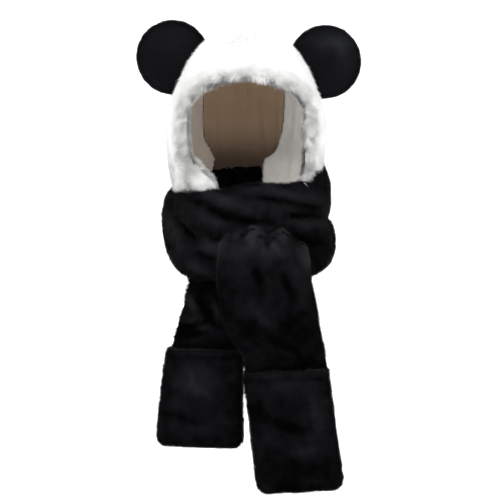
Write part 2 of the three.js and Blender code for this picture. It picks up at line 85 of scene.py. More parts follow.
# Folds and creases of the cloth, drawn in X and Z as the front shows them, in metres.
# rise is the height of a fold, or below nought the depth of a crease; wide is its half width.
FOLDS = {
    "scarf_right_arm": [
        {"from": (0.020, -0.272), "to": (0.128, -0.292), "wide": 0.0060, "rise": -0.0095},
        {"from": (0.015, -0.260), "to": (0.126, -0.280), "wide": 0.0070, "rise": 0.0050},
        {"from": (0.055, -0.342), "to": (0.128, -0.350), "wide": 0.0060, "rise": -0.0080},
        {"from": (0.065, -0.304), "to": (0.150, -0.306), "wide": 0.0055, "rise": -0.0080},
        {"from": (0.060, -0.317), "to": (0.150, -0.320), "wide": 0.0070, "rise": 0.0045},
        {"from": (-0.098, -0.272), "to": (-0.010, -0.312), "wide": 0.0075, "rise": -0.0090},
        {"from": (-0.082, -0.259), "to": (0.000, -0.296), "wide": 0.0100, "rise": 0.0055},
        {"from": (-0.060, -0.304), "to": (0.045, -0.318), "wide": 0.0060, "rise": -0.0075},
        {"from": (-0.085, -0.296), "to": (-0.020, -0.330), "wide": 0.0080, "rise": 0.0050},
        {"from": (-0.030, -0.258), "to": (0.090, -0.262), "wide": 0.0080, "rise": 0.0035},
        {"from": (-0.118, -0.492), "to": (-0.055, -0.484), "wide": 0.0055, "rise": -0.0080},
        {"from": (-0.116, -0.509), "to": (-0.062, -0.500), "wide": 0.0055, "rise": -0.0070},
        {"from": (-0.110, -0.476), "to": (-0.050, -0.498), "wide": 0.0065, "rise": 0.0055},
        {"from": (-0.100, -0.434), "to": (-0.082, -0.468), "wide": 0.0050, "rise": 0.0060},
        {"from": (-0.056, -0.445), "to": (-0.040, -0.480), "wide": 0.0050, "rise": 0.0055},
        {"from": (-0.078, -0.440), "to": (-0.060, -0.482), "wide": 0.0060, "rise": -0.0050},
    ],
    "scarf_left_arm": [
        {"from": (0.032, -0.310), "to": (0.036, -0.358), "wide": 0.0060, "rise": -0.0150},
        {"from": (0.010, -0.318), "to": (0.009, -0.362), "wide": 0.0075, "rise": 0.0060},
        {"from": (0.036, -0.342), "to": (0.064, -0.372), "wide": 0.0050, "rise": 0.0070},
        {"from": (0.060, -0.320), "to": (0.062, -0.358), "wide": 0.0075, "rise": 0.0060},
        {"from": (-0.022, -0.318), "to": (-0.028, -0.356), "wide": 0.0050, "rise": -0.0110},
        {"from": (0.084, -0.322), "to": (0.088, -0.352), "wide": 0.0050, "rise": -0.0090},
        {"from": (0.090, -0.345), "to": (0.108, -0.410), "wide": 0.0060, "rise": 0.0050},
        {"from": (0.078, -0.350), "to": (0.098, -0.405), "wide": 0.0060, "rise": -0.0045},
        {"from": (0.010, -0.382), "to": (0.028, -0.430), "wide": 0.0080, "rise": -0.0045},
        {"from": (0.060, -0.392), "to": (0.080, -0.450), "wide": 0.0080, "rise": -0.0040},
        {"from": (0.000, -0.440), "to": (0.045, -0.500), "wide": 0.0090, "rise": 0.0045},
        {"from": (0.030, -0.500), "to": (0.100, -0.540), "wide": 0.0070, "rise": -0.0035},
        {"from": (-0.118, -0.292), "to": (-0.082, -0.350), "wide": 0.0080, "rise": -0.0070},
        {"from": (-0.134, -0.306), "to": (-0.108, -0.372), "wide": 0.0100, "rise": 0.0060},
        {"from": (-0.070, -0.356), "to": (-0.035, -0.348), "wide": 0.0100, "rise": 0.0070},
        {"from": (-0.090, -0.362), "to": (-0.048, -0.378), "wide": 0.0060, "rise": -0.0070},
        {"from": (-0.105, -0.382), "to": (-0.055, -0.400), "wide": 0.0080, "rise": 0.0055},
    ],
    "hood_shell": [
        {"from": (-0.124, -0.214), "to": (-0.094, -0.258), "wide": 0.0050, "rise": -0.0060},
        {"from": (-0.112, -0.208), "to": (-0.082, -0.252), "wide": 0.0065, "rise": 0.0030},
    ],
    "back_lining": [
        {"from": (0.030, -0.085), "to": (0.040, -0.195), "wide": 0.0080, "rise": 0.0055},
        {"from": (0.058, -0.080), "to": (0.064, -0.175), "wide": 0.0060, "rise": 0.0035},
        {"from": (-0.060, -0.090), "to": (-0.052, -0.190), "wide": 0.0070, "rise": 0.0030},
        {"from": (-0.040, -0.176), "to": (0.030, -0.182), "wide": 0.0060, "rise": 0.0020},
    ],
    "cheek_lining_right": [
        {"from": (0.090, -0.110), "to": (0.084, -0.190), "wide": 0.0060, "rise": 0.0030},
        {"from": (0.062, -0.190), "to": (0.052, -0.240), "wide": 0.0060, "rise": 0.0035},
        {"from": (0.082, -0.200), "to": (0.080, -0.245), "wide": 0.0050, "rise": 0.0025},
    ],
    "pocket_right": [
        {"from": (0.040, -0.640), "to": (0.090, -0.665), "wide": 0.0100, "rise": -0.0035},
        {"from": (0.060, -0.700), "to": (0.125, -0.690), "wide": 0.0100, "rise": 0.0035},
        {"from": (0.105, -0.590), "to": (0.120, -0.650), "wide": 0.0080, "rise": 0.0030},
    ],
    "pocket_left": [
        {"from": (-0.110, -0.585), "to": (-0.060, -0.605), "wide": 0.0090, "rise": 0.0040},
        {"from": (-0.120, -0.640), "to": (-0.070, -0.655), "wide": 0.0080, "rise": -0.0035},
        {"from": (-0.095, -0.560), "to": (-0.085, -0.595), "wide": 0.0070, "rise": 0.0030},
    ],
}

# Painted highlights: soft patches where the nap's colour is painted lighter, as if lit more, drawn in X
# and Z like the folds
PAINTED_HIGHLIGHTS = {
    "scarf_left_arm": [
        {"at": (0.030, -0.350), "wide": 0.062, "tall": 0.032, "more": 0.45},
        {"at": (0.095, -0.375), "wide": 0.018, "tall": 0.045, "more": 0.30},
        {"at": (-0.050, -0.358), "wide": 0.035, "tall": 0.020, "more": 0.30},
        {"at": (-0.125, -0.325), "wide": 0.030, "tall": 0.055, "more": 0.20},
    ],
    "scarf_right_arm": [
        {"at": (0.020, -0.290), "wide": 0.110, "tall": 0.035, "more": 0.20},
        {"at": (-0.100, -0.285), "wide": 0.030, "tall": 0.024, "more": 0.12},
        {"at": (-0.045, -0.275), "wide": 0.030, "tall": 0.016, "more": 0.10},
        {"at": (-0.085, -0.455), "wide": 0.022, "tall": 0.030, "more": 0.15},
    ],
    "pocket_left": [
        {"at": (-0.085, -0.580), "wide": 0.040, "tall": 0.035, "more": 0.22},
        {"at": (-0.085, -0.655), "wide": 0.045, "tall": 0.020, "more": 0.10},
    ],
    "pocket_right": [
        {"at": (0.070, -0.585), "wide": 0.060, "tall": 0.020, "more": 0.12},
        {"at": (0.120, -0.650), "wide": 0.018, "tall": 0.050, "more": 0.14},
    ],
    "ear_left": [
        {"at": (-0.130, -0.005), "wide": 0.040, "tall": 0.022, "more": 0.10},
    ],
    "ear_right": [
        {"at": (0.150, -0.006), "wide": 0.034, "tall": 0.014, "more": 0.45},
        {"at": (0.168, -0.025), "wide": 0.014, "tall": 0.028, "more": 0.25},
    ],
}

# The dome gathers to a point under the upper band and its pleats fan out from there, whole as far
# as near and gone at far. They show on the dome alone, which stands further forward than behind.
GATHER = {"x": 0.032, "z": -0.306, "pleats": 11, "rise": 0.0030, "near": 0.030, "far": 0.090}
DOME_FRONT = {"behind": -0.128, "ahead": -0.140}

# Soft undulations of the filled cloth: the size of their humps
WRINKLE = 0.045

# Heights over which the lining's colour is painted in shade towards the nape
NAPE_SHADE = {"from": -0.135, "to": -0.215}

# Valleys that the cloth bridges: between the hood's dome and the roll round the face, from a
# height up, and on the dome's left, where the cloth of the loop runs into it
HOOD_VALLEY = {"none": -0.20, "whole": -0.17}
DOME_VALLEY = {"at": (-0.045, -0.372), "wide": 0.035, "tall": 0.060}

# How far each pocket's mouth is turned, in degrees
POCKET_TILT = {"pocket_left": -1.5, "pocket_right": 3.0}

# The seam inside an ear's rim, and the hem along a pocket's mouth
EAR_SEAM = {"inside": 0.0065, "wide": 0.0022, "depth": 0.0022}
HEM = {"below": 0.010, "wide": 0.0030, "depth": 0.0014, "roll": 0.0012}

# The hood's pile is smooth and bright on the dome. Round the face it is denser, longer and unruly,
# and painted in mottled shade, and near the hood's foot it is painted in shade too. The lining
# covers the wall's inside from lined_from, in Y, and there is no pile there.
HOOD_NAP = {
    "lined_from": 0.02,
    "denser": 0.6,
    "longer": 0.7,
    "calm": 0.12,
    "unruly": 1.5,
    "bright": 0.96,
    "shade_depth": 0.90,
    "mottled": 0.60,
    "brow_spared": 0.2,
    "foot_shade": 0.58,
}
# Heights over which the painted shade near the hood's foot comes in
FOOT_SHADE = {"none": -0.17, "whole": -0.22}
MOTTLES = {"wide": 0.009, "fine": 0.0045}

# How much of the scarf's pile stands on its inner side, and how an ear's is lit and strays
INNER_SCARF_PILE = 0.45
EAR_NAP = {"light": 0.23, "unrest": 0.4}

# The lining's nap: tufts on each square metre, how it is lit and strays, how narrow its tufts
# are beside the plush's, and its dark tone as a share of its light one
LINING_NAP = {"tufts": 500000, "light": 0.6, "unrest": 0.8, "width": 0.8, "dark": 0.82}

# Tufts stand in swirls and clumps of these sizes, and are ordered by cells of one size
SWIRL = {"wide": 0.021, "fine": 0.007}
CLUMP = {"wide": 0.012, "fine": 0.0045}
CELL = 0.008

# How tufts differ from each other: their way, their lean and its limits in radians, and their
# length as shares of the pile's. CLUMPED is what a clump adds to a tuft's lean, length and light.
STRAY = {"way": 0.35, "lean": 0.16, "upright": 0.15, "flat": 1.35, "shortest": 0.75, "more": 0.5}
CLUMPED = {"lean": 0.16, "length": 0.14, "light": 0.05}

# The soft lights: their place, what they are aimed at, their size across and their power
MIDDLE = (0.0068, -0.06, -0.365)
LIGHTS = {
    "key": {"at": (-1.3, -2.3, 1.6), "aim": MIDDLE, "size": 1.1, "power": 38},
    "top": {"at": (0.1, -0.5, 1.9), "aim": MIDDLE, "size": 1.0, "power": 58},
    "side": {"at": (2.1, -1.2, 0.4), "aim": MIDDLE, "size": 1.0, "power": 8},
    "crown": {"at": (0.0, 1.3, 1.7), "aim": (0.0, 0.0, 0.0), "size": 1.0, "power": 14},
}

# The camera's distance from the middle, and the width that it sees there
CAMERA = {"distance": 3.2, "width": 0.85, "sensor": 36.0}


class PlushSizes(bpy.types.PropertyGroup):
    pile: bpy.props.FloatProperty(
        name="Pile length", description="Length of the plush", default=0.0075, unit="LENGTH"
    )
    fleece: bpy.props.FloatProperty(
        name="Fleece length", description="Length of the lining's nap", default=0.0024, unit="LENGTH"
    )
    strand: bpy.props.FloatProperty(
        name="Tuft width", description="Width of a tuft at its root", default=0.00122, unit="LENGTH"
    )
    sink: bpy.props.FloatProperty(
        name="Backing depth",
        description="How far the backing lies under the tips of the pile",
        default=0.0036,
        unit="LENGTH",
    )
    grid: bpy.props.FloatProperty(
        name="Backing grid", description="Size of the backing's faces", default=0.0037, unit="LENGTH"
    )
    lining_grid: bpy.props.FloatProperty(
        name="Lining grid", description="Size of the lining's faces", default=0.0026, unit="LENGTH"
    )


class HatColours(bpy.types.PropertyGroup):
    white: bpy.props.FloatVectorProperty(
        name="White plush",
        description="Plush of the hood",
        subtype="COLOR",
        default=(0.935, 0.933, 0.928),
    )
    # The white plush's painted shade: its tone where its painted light is low, as round the face, and
    # towards the roots
    white_shade: bpy.props.FloatVectorProperty(
        name="White roots",
        description="Roots of the hood's plush",
        subtype="COLOR",
        default=(0.385, 0.385, 0.375),
    )
    # The black plush where its painted light is full: painted-lit folds and painted highlights run
    # towards it
    black: bpy.props.FloatVectorProperty(
        name="Black plush",
        description="Plush of the scarf",
        subtype="COLOR",
        default=(0.029, 0.029, 0.033),
    )
    # The black plush's painted shade: its tone where no painted light reaches it
    black_shade: bpy.props.FloatVectorProperty(
        name="Black roots",
        description="Roots of the scarf's plush",
        subtype="COLOR",
        default=(0.0009, 0.0009, 0.0011),
    )
    ear: bpy.props.FloatVectorProperty(
        name="Ear plush",
        description="Plush of the ears",
        subtype="COLOR",
        default=(0.022, 0.023, 0.028),
    )
    tan: bpy.props.FloatVectorProperty(
        name="Tan fleece",
        description="Lining inside the back",
        subtype="COLOR",
        default=(0.41, 0.285, 0.188),
    )
    # Painted shade of the tan fleece deep in the hood, towards the nape
    tan_nape_shade: bpy.props.FloatVectorProperty(
        name="Dark fleece",
        description="Lining near the nape",
        subtype="COLOR",
        default=(0.090, 0.060, 0.043),
    )
    pale: bpy.props.FloatVectorProperty(
        name="Pale facing",
        description="Facing inside the right side",
        subtype="COLOR",
        default=(0.88, 0.855, 0.82),
    )
    # The pale facing in painted shade, on the left side that faces away from the key light
    pale_shade: bpy.props.FloatVectorProperty(
        name="Duller facing",
        description="Facing inside the left side",
        subtype="COLOR",
        default=(0.67, 0.57, 0.48),
    )


def sizes():
    return bpy.context.scene.hat_sizes


def colours():
    return bpy.context.scene.hat_colours


def noise(points, size, seed):
    """Smooth noise between -1 and 1 at each point, with humps of about this size.

    Large primes scramble the place of each grid cell, so it is the same in every run."""
    at = points / size
    cell = np.floor(at).astype(np.int64)
    part = at - cell
    part = part * part * (3 - 2 * part)
    total = np.zeros(len(points))
    for corner in np.ndindex(2, 2, 2):
        x, y, z = (cell + corner).T
        mixed = (x * 73856093) ^ (y * 19349663) ^ (z * 83492791) ^ (seed * 40503)
        mixed = (mixed ^ (mixed >> 13)) * 1274126177 & 0xFFFFFFFF
        mixed ^= mixed >> 16
        weight = np.prod(np.where(corner, part, 1 - part), axis=1)
        total += weight * ((mixed & 0xFFFF) / 32767.5 - 1)
    return total


def unit(vectors):
    return vectors / np.maximum(np.linalg.norm(vectors, axis=1, keepdims=True), 1e-12)


def between(values, none, whole):
    """0 where a value is none's or beyond it, 1 where it is whole's, and even steps between."""
    return np.clip((values - none) / (whole - none), 0, 1)


def numbers(items, name, width, kind=np.float64):
    found = np.empty(len(items) * width, np.float32 if kind is np.float64 else kind)
    items.foreach_get(name, found)
    return found.astype(kind).reshape(-1, width)


def make_mesh(name, points, faces):
    """A smooth mesh object from arrays of points and of faces that all have as many corners."""
    mesh = bpy.data.meshes.new(name)
    count, corners = faces.shape
    mesh.vertices.add(len(points))
    mesh.vertices.foreach_set("co", points.astype(np.float32).ravel())
    mesh.loops.add(count * corners)
    mesh.loops.foreach_set("vertex_index", faces.astype(np.int32).ravel())
    mesh.polygons.add(count)
    mesh.polygons.foreach_set("loop_start", np.arange(0, count * corners, corners, dtype=np.int32))
    mesh.update(calc_edges=True)
    mesh.polygons.foreach_set("use_smooth", np.full(count, True))
    made = bpy.data.objects.new(name, mesh)
    bpy.context.scene.collection.objects.link(made)
    return made


def remeshed(node, grid):
    """Points and square faces of a CAD node, remeshed on an even grid."""
    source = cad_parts[node]
    copy = bpy.data.objects.new("remeshing", source.data.copy())
    bpy.context.scene.collection.objects.link(copy)
    weld = copy.modifiers.new("weld", "WELD")
    weld.merge_threshold = 0.00002
    even = copy.modifiers.new("even", "REMESH")
    even.mode = "VOXEL"
    even.voxel_size = grid
    shown = copy.evaluated_get(bpy.context.evaluated_depsgraph_get())
    mesh = shown.to_mesh()
    points = numbers(mesh.vertices, "co", 3)
    corners = numbers(mesh.polygons, "loop_total", 1, np.int32).ravel()
    loops = numbers(mesh.loops, "vertex_index", 1, np.int32).ravel()
    if (corners != 4).any():
        raise RuntimeError(f"{node}: the remesh has faces that aren't square")
    shown.to_mesh_clear()
    bpy.data.objects.remove(copy)
    return points, loops.reshape(-1, 4)


def edges_of(quads):
    pairs = np.concatenate([quads[:, [k, (k + 1) % 4]] for k in range(4)])
    return np.unique(np.sort(pairs, axis=1), axis=0)


def smoothed(points, quads, rounds, keep=True, fill=None):
    """Points moved towards their neighbours' middle, and back again where the form is kept.

    With fill, each point moves by that share of it, and only outwards, so that hollows fill up."""
    pairs = edges_of(quads)
    ends = np.concatenate([pairs, pairs[:, ::-1]])
    count = np.bincount(ends[:, 0], minlength=len(points))[:, None]
    for _ in range(rounds):
        for share in (0.6, -0.61) if keep else (0.6,):
            middle = np.stack(
                [np.bincount(ends[:, 0], points[ends[:, 1], k], len(points)) for k in range(3)], 1
            )
            step = share * (middle / np.maximum(count, 1) - points)
            if fill is not None:
                out = point_normals(points, quads)
                step = out * (np.clip((step * out).sum(1), 0, None) * fill)[:, None]
            points = points + step
    return points


def point_normals(points, quads):
    across = points[quads[:, 2]] - points[quads[:, 0]]
    along = points[quads[:, 3]] - points[quads[:, 1]]
    face = np.cross(across, along)
    total = np.zeros_like(points)
    for k in range(4):
        for axis in range(3):
            total[:, axis] += np.bincount(quads[:, k], face[:, axis], len(points))
    return unit(total)


def touch(node, points):
    """How a node's points meet the piece beside it, and the gap that is left there.

    The first is 1 where they meet, down to 0 a few millimetres off."""
    corners, faces = [], []
    for name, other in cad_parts.items():
        if name == node:
            continue
        start = len(corners)
        corners.extend(vertex.co.copy() for vertex in other.data.vertices)
        faces.extend([start + v for v in face.vertices] for face in other.data.polygons)
    tree = BVHTree.FromPolygons(corners, faces)
    far = CONTACT["far"]
    found = (tree.find_nearest(Vector(p), far)[3] for p in points)
    gap = np.array([far if distance is None else distance for distance in found])
    return between(gap, far, CONTACT["near"]), gap


def painted_highlights(node, points):
    """How much painted light each point gets, as painted highlights from soft patches in the node's
    table.
    """
    flat = points[:, [0, 2]]
    bright = np.zeros(len(points))
    for spot in PAINTED_HIGHLIGHTS.get(node, ()):
        off = (flat - np.array(spot["at"])) / np.array([spot["wide"], spot["tall"]])
        bright += spot["more"] * np.exp(-(off * off).sum(1))
    return bright * (1 + 0.35 * noise(points, 0.016, 61) + 0.25 * noise(points, 0.007, 62))


def around_face(points):
    """1 on the edge of the face opening, down to 0 away from it."""
    over = np.maximum(points[:, 2] - ARCH["foot"], 0) / ARCH["height"]
    place = np.hypot(points[:, 0] / ARCH["half_width"], over)
    off = (place - 1.0) / ARCH_EDGE["fade"]
    return np.exp(-off * off) * between(points[:, 1], ARCH_EDGE["begins"], ARCH_EDGE["whole"])


def fold_relief(node, points, normals):
    """How far the node's folds and creases move each point along its normal.

    They show on cloth that faces the front or upwards, and grow shallow towards their ends."""
    moved = np.zeros(len(points))
    facing = np.clip(0.9 * np.clip(normals[:, 2], 0, 1) - normals[:, 1] * 1.6, 0, 1)
    flat = points[:, [0, 2]]
    for fold in FOLDS.get(node, ()):
        start, end = np.array(fold["from"]), np.array(fold["to"])
        along = end - start
        place = np.clip((flat - start) @ along / (along @ along), 0, 1)
        off = np.linalg.norm(flat - start - place[:, None] * along, axis=1) / fold["wide"]
        fade = np.clip(4 * place * (1 - place), 0.25, 1)
        moved += fold["rise"] * fade * np.exp(-off * off) * facing
    return moved


def gather_relief(points, normals):
    """Pleats that fan out from where the dome is gathered."""
    offset = points[:, [0, 2]] - np.array([GATHER["x"], GATHER["z"]])
    distance = np.linalg.norm(offset, axis=1)
    turn = np.arctan2(offset[:, 0], -offset[:, 1])
    wave = np.cos(turn * GATHER["pleats"] + 1.4 * noise(points, 0.03, 5))
    inside = between(distance, GATHER["far"], GATHER["near"])
    ahead = between(points[:, 1], DOME_FRONT["behind"], DOME_FRONT["ahead"])
    return GATHER["rise"] * wave * inside * ahead * np.clip(-normals[:, 1] + 0.7, 0, 1)


def wrinkles(points, rise, seed):
    """Soft undulations of filled cloth, longer across the piece than down it."""
    stretched = points * np.array([0.6, 0.6, 1.0])
    return rise * (0.7 * noise(stretched, WRINKLE, seed) + 0.4 * noise(points, WRINKLE * 0.42, seed + 1))


def ear_relief(node, points, normals):
    """The seam that runs round an ear, a little way inside its rim."""
    low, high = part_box(node)
    radius = (high[2] - low[2]) / 2
    middle_x = low[0] + radius if low[0] < 0 else high[0] - radius
    distance = np.hypot(points[:, 0] - middle_x, points[:, 2] - (high[2] + low[2]) / 2)
    off = (radius - EAR_SEAM["inside"] - distance) / EAR_SEAM["wide"]
    return -EAR_SEAM["depth"] * np.exp(-off * off) * np.clip(np.abs(normals[:, 1]) * 2, 0, 1)


def hem_relief(node, points, normals):
    """The stitched hem along a pocket's mouth."""
    low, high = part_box(node)
    slope = math.tan(math.radians(POCKET_TILT[node]))
    middle_x = (low[0] + high[0]) / 2
    mouth = high[2] - abs(slope) * (high[0] - low[0]) / 2
    down = mouth + (points[:, 0] - middle_x) * slope - points[:, 2]
    off = (down - HEM["below"]) / HEM["wide"]
    rolled = np.clip(1 - down / HEM["below"], 0, 1)
    facing = np.clip(-normals[:, 1] * 2, 0, 1)
    return (HEM["roll"] * rolled - HEM["depth"] * np.exp(-off * off)) * facing


def paint(piece, material):
    piece.data.materials.append(material)


def settle(piece, node):
    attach(piece, "root")
    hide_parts(node)


def mark(mesh, name, values):
    """Keeps one number for each point of a mesh, which a material can read."""
    kept = mesh.attributes.new(name, "FLOAT", "POINT")
    kept.data.foreach_set("value", np.asarray(values, np.float32))


def hood_hollow(points, normals):
    """The valley between the hood's dome and the roll round the face."""
    way = unit(points - HEAD_MIDDLE)
    outer = np.clip((way * normals).sum(1) * 4 - 0.6, 0, 1)
    return outer * between(points[:, 2], HOOD_VALLEY["none"], HOOD_VALLEY["whole"])


def dome_hollow(points, normals):
    """The valley on the dome's left, where the cloth of the loop runs into it."""
    reach = np.array([DOME_VALLEY["wide"], DOME_VALLEY["tall"]])
    off = (points[:, [0, 2]] - np.array(DOME_VALLEY["at"])) / reach
    return np.exp(-((off * off).sum(1) ** 2)) * np.clip(-2 * normals[:, 1] + 0.6, 0, 1)


def backing(node, name, grid, sink, rise, seed, rounds=5, fill=0, hollow=None):
    """The cloth under a node's pile: its remeshed form, sunk by the pile's height and creased.

    Beside its points and faces this gives what the pile follows: how much of it there is at
    each point, how much painted light and shade its colour takes, with raised folds painted
    lighter and creases darker, how unruly it is and its length as a share."""
    points, quads = remeshed(node, grid)
    meets, gap = touch(node, points)
    points = smoothed(points, quads, rounds)
    if hollow:
        share = hollow(points, point_normals(points, quads)) * (1 - meets)
        points = smoothed(points, quads, fill, keep=False, fill=share)
    points = smoothed(points, quads, 1, keep=False)
    normals = point_normals(points, quads)
    relief = fold_relief(node, points, normals)
    if node == "scarf_left_arm":
        relief += gather_relief(points, normals)
    if node.startswith("ear"):
        relief += ear_relief(node, points, normals)
    if node.startswith("pocket"):
        relief += hem_relief(node, points, normals)
    relief += wrinkles(points, rise, seed)
    relief *= 1 - meets
    overlap = CONTACT["overlap"] if node.startswith("scarf") else 0.0
    closed = (0.5 * gap + overlap) * (meets > 0.99)
    moved = relief - sink * (1 - meets) + closed
    points = smoothed(points + normals * moved[:, None], quads, 1)
    follow = {
        "cover": 1 - 0.97 * (gap < 0.0006),
        # Painted light and shade: raised folds painted lighter, creases, seams and hems darker, plus the
        # painted highlights
        "light": np.clip(relief / 0.02, -0.16, 0.3) + painted_highlights(node, points),
        "unrest": np.ones(len(points)),
        "length": np.ones(len(points)),
    }
    return make_mesh(name, points, quads), points, quads, follow


def hood_pile(points, normals, follow):
    """No pile on the wall behind the lining; it lies smooth on the dome and is unruly at the brow, where
    it is painted in mottled shade, as it is near the hood's foot.
    """
    nap = HOOD_NAP
    inward = ((HEAD_MIDDLE - points) * normals).sum(1) > 0
    edge = around_face(points)
    lined = inward & (points[:, 1] > nap["lined_from"])
    follow["cover"] = np.where(lined, 0.0, follow["cover"]) * (1 + nap["denser"] * edge)
    follow["unrest"] = nap["calm"] + nap["unruly"] * edge
    follow["length"] = 1 + nap["longer"] * edge
    # Painted shade near the hood's foot, and round the face, where it is partly spared at the brow
    foot = nap["foot_shade"] * between(points[:, 2], FOOT_SHADE["none"], FOOT_SHADE["whole"])
    high = between(points[:, 2], ARCH["foot"], ARCH["foot"] + ARCH["height"])
    grain = 0.8 * noise(points, MOTTLES["wide"], 17) + 0.6 * noise(points, MOTTLES["fine"], 18)
    shade_mask = np.maximum(edge * (1 - nap["brow_spared"] * high), foot)
    follow["light"] = nap["bright"] - shade_mask * (nap["shade_depth"] - nap["mottled"] * grain)


def scarf_pile(points, normals, follow):
    """Less pile where the scarf lies against itself or the neck."""
    outward = points[:, 0] * normals[:, 0] + points[:, 1] * normals[:, 1] > -0.02
    follow["cover"] *= np.where(outward, 1.0, INNER_SCARF_PILE)


def ear_pile(points, normals, follow):
    """An ear's pile is even, and lit a little all over."""
    follow["light"] += EAR_NAP["light"]
    follow["unrest"] *= EAR_NAP["unrest"]


def away_from_crown(root):
    return unit(root - CROWN_WHORL)


def downwards(root):
    return np.array([0.0, 0.0, -1.0])


def pile(name, points, quads, follow, count, length, width, seed, way=downwards, lean=0.95):
    """Tufts rooted all over a backing: each is one long thin face that leans with the nap.

    way gives the way the pile lies, and lean how far it lies down, in radians. follow says at
    each point how much pile there is, how its way wanders, how much painted light and shade its
    colour takes and how long it is beside the usual length."""
    rng = np.random.default_rng(seed)
    normals = point_normals(points, quads)
    faces = np.concatenate([quads[:, :3], quads[:, [0, 2, 3]]])
    first, second, third = (points[faces[:, k]] for k in range(3))
    cover = sum(follow["cover"][faces[:, k]] for k in range(3))
    area = np.linalg.norm(np.cross(second - first, third - first), axis=1) * cover
    chosen = rng.choice(len(faces), count, p=area / area.sum())
    u, v = rng.random(count), rng.random(count)
    over = u + v > 1
    u[over], v[over] = 1 - u[over], 1 - v[over]
    share = np.stack([1 - u - v, u, v], 1)

    def at_roots(values):
        return sum(values[faces[chosen, k]] * share[:, k, None] for k in range(3))

    root, normal = at_roots(points), unit(at_roots(normals))
    unrest, light, tall = (at_roots(follow[key][:, None]) for key in ("unrest", "light", "length"))
    order = np.lexsort((root[:, 1], np.floor(root[:, 0] / CELL), np.floor(root[:, 2] / CELL)))
    root, normal, unrest, light, tall = (values[order] for values in (root, normal, unrest, light, tall))
    wide = np.stack([noise(root, SWIRL["wide"], seed + k) for k in range(3)], 1)
    fine = np.stack([noise(root, SWIRL["fine"], seed + 9 + k) for k in range(3)], 1)
    swirl = 0.75 * wide + 0.5 * fine
    lying = way(root) + unrest * swirl + STRAY["way"] * rng.normal(size=(count, 3))
    lying = unit(lying - normal * (lying * normal).sum(1)[:, None])
    clump = (noise(root, CLUMP["wide"], seed + 20) + 0.7 * noise(root, CLUMP["fine"], seed + 21))[:, None]
    angle = lean + unrest * CLUMPED["lean"] * clump + STRAY["lean"] * rng.normal(size=(count, 1))
    angle = np.clip(angle, STRAY["upright"], STRAY["flat"])
    up = unit(normal * np.cos(angle) + lying * np.sin(angle))
    drawn = STRAY["shortest"] + STRAY["more"] * rng.random((count, 1))
    long = length * tall * (drawn + CLUMPED["length"] * unrest * clump)
    side = unit(np.cross(normal, up)) * width / 2
    corners = np.stack([root + side, root - side, root + up * long], 1)
    made = make_mesh(name, corners.reshape(-1, 3), np.arange(3 * count).reshape(-1, 3))
    # Calm pile is shaded by its backing's form, and unruly pile a little by its tufts' own faces
    face = unit(np.cross(up, side))
    shown = unit((0.85 - 0.15 * unrest) * normal + 0.25 * unrest * face + 0.18 * up)
    made.data.normals_split_custom_set_from_vertices(np.repeat(shown, 3, axis=0).tolist())
    # tip runs from 0 at a tuft's root to 1 at its tip; the colour follows it as painted shade towards the
    # roots
    mark(made.data, "tip", np.tile([0, 0, 1], count))
    # Each tuft's painted light and shade, a little more or less with its clump
    mark(made.data, "light", np.repeat((light + CLUMPED["light"] * unrest * clump)[:, 0], 3))
    lay_out(made.data, count)
    return made


def lay_out(mesh, count):
    """Gives each tuft a place of its own in a square map, in the order in which they stand."""
    columns = math.ceil(math.sqrt(count))
    place = np.arange(count)
    low = np.stack([place % columns, place // columns], 1)[:, None, :]
    corners = np.array([[0.06, 0.06], [0.94, 0.06], [0.5, 0.94]])[None]
    layer = mesh.uv_layers.new(name="OFBake")
    layer.data.foreach_set("uv", ((low + corners) / columns).astype(np.float32).ravel())


def new_group(name, inputs, outputs):
    group = bpy.data.node_groups.new(name, "ShaderNodeTree")
    for label, value in inputs.items():
        socket = group.interface.new_socket(label, in_out="INPUT", socket_type="NodeSocketFloat")
        socket.default_value = value
    for label in outputs:
        group.interface.new_socket(label, in_out="OUTPUT", socket_type="NodeSocketFloat")
    return group, group.nodes.new("NodeGroupInput"), group.nodes.new("NodeGroupOutput")


def cloth_tone():
    """A mask of soft patches and fine specks, between 0 and 1, that varies over a cloth."""
    inputs = {"Patch Scale": 30.0, "Speck Scale": 400.0, "Specks": 0.4}
    group, given, out = new_group("ClothTone", inputs, ["Tone"])
    place = group.nodes.new("ShaderNodeTexCoord")
    patches = group.nodes.new("ShaderNodeTexNoise")
    specks = group.nodes.new("ShaderNodeTexNoise")
    patches.inputs["Detail"].default_value = 3.0
    specks.inputs["Detail"].default_value = 1.0
    mix = group.nodes.new("ShaderNodeMix")
    link = group.links.new
    link(place.outputs["Object"], patches.inputs["Vector"])
    link(place.outputs["Object"], specks.inputs["Vector"])
    link(given.outputs["Patch Scale"], patches.inputs["Scale"])
    link(given.outputs["Speck Scale"], specks.inputs["Scale"])
    link(given.outputs["Specks"], mix.inputs["Factor"])
    link(patches.outputs["Fac"], mix.inputs["A"])
    link(specks.outputs["Fac"], mix.inputs["B"])
    link(mix.outputs["Result"], out.inputs["Tone"])
    return group


def nap_height():
    """The height of a napped face: short crossed tufts and soft dents."""
    group, given, out = new_group("NapHeight", {"Scale": 500.0}, ["Height"])
    place = group.nodes.new("ShaderNodeTexCoord")
    tufts = group.nodes.new("ShaderNodeTexNoise")
    dents = group.nodes.new("ShaderNodeTexVoronoi")
    tufts.inputs["Detail"].default_value = 4.0
    tufts.inputs["Distortion"].default_value = 1.2
    add = group.nodes.new("ShaderNodeMath")
    link = group.links.new
    link(place.outputs["Object"], tufts.inputs["Vector"])
    link(place.outputs["Object"], dents.inputs["Vector"])
    link(given.outputs["Scale"], tufts.inputs["Scale"])
    link(given.outputs["Scale"], dents.inputs["Scale"])
    link(tufts.outputs["Fac"], add.inputs[0])
    link(dents.outputs["Distance"], add.inputs[1])
    link(add.outputs["Value"], out.inputs["Height"])
    return group


